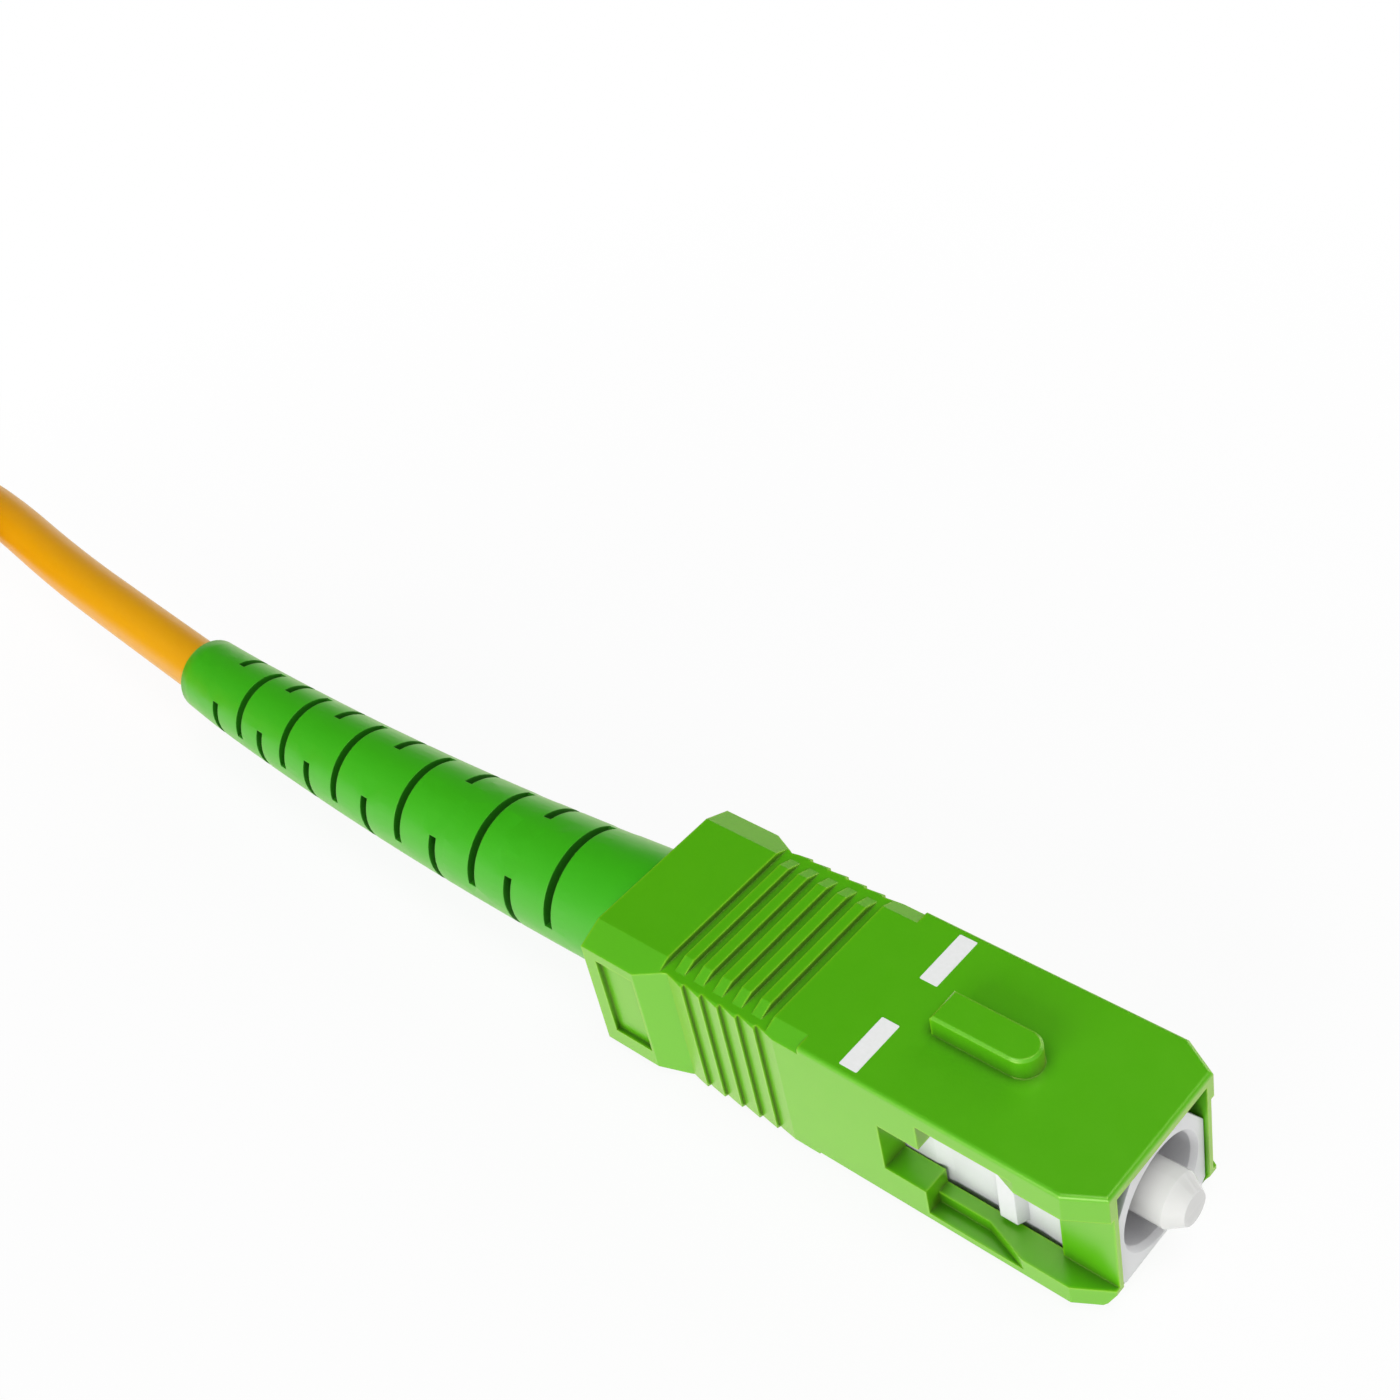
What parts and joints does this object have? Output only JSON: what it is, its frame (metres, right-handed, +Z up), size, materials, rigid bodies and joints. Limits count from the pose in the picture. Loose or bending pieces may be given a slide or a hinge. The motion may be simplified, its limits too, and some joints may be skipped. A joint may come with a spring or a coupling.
{
  "type": "sc fibre connector",
  "caption": "Push-pull fibre optic plug with a keyed square grip, white inner frame, angled ferrule, slotted tapered boot and round cable.",
  "frame": {"origin": "on the flat bottom face of the outer housing, under the middle of the connector from ferrule tip to boot end", "axes": "+X along the ferrule towards the mating end, +Z up towards the key, +Y across the housing"},
  "size_m": [0.1248, 0.0363, 0.018],
  "materials": {
    "housing_green": "satin moulded plastic",
    "frame_white": "satin moulded plastic",
    "zirconia": "polished zirconia",
    "plated_metal": "nickel plate",
    "guide_clear": "translucent",
    "spring_steel": "bright drawn wire",
    "aramid": "loose yarn",
    "crimp_metal": "plated and crimped",
    "boot_green": "soft satin moulding",
    "jacket_yellow": "satin extruded jacket",
    "buffer_white": "smooth"
  },
  "bodies": {
    "plug": {"plug_frame": "frame_white", "rear_body": "plated_metal", "spring": "spring_steel", "aramid_yarn": "aramid", "crimp_sleeve": "crimp_metal", "crimp_eyelet": "crimp_metal", "boot": "boot_green", "cable_jacket": "jacket_yellow", "tight_buffer": "buffer_white", "cable": "jacket_yellow", "cable_coil": "jacket_yellow", "cable_tail": "jacket_yellow", "yarn_end": "aramid", "buffer_end": "buffer_white"},
    "grip": {"outer_housing": "housing_green"},
    "float": {"ferrule": "zirconia", "ferrule_flange": "plated_metal", "guide_tube": "guide_clear"}
  },
  "joints": [
    {"name": "grip_slide", "type": "slide", "parent": "plug", "child": "grip", "axis": [-1, 0, 0], "range_m": [0, 0.0015]},
    {"name": "ferrule_float", "type": "slide", "parent": "plug", "child": "float", "axis": [-1, 0, 0], "range_m": [0, 0.001], "stiffness_N_per_m": 2500, "springref_m": -0.0036, "deforming": ["spring"]}
  ]
}
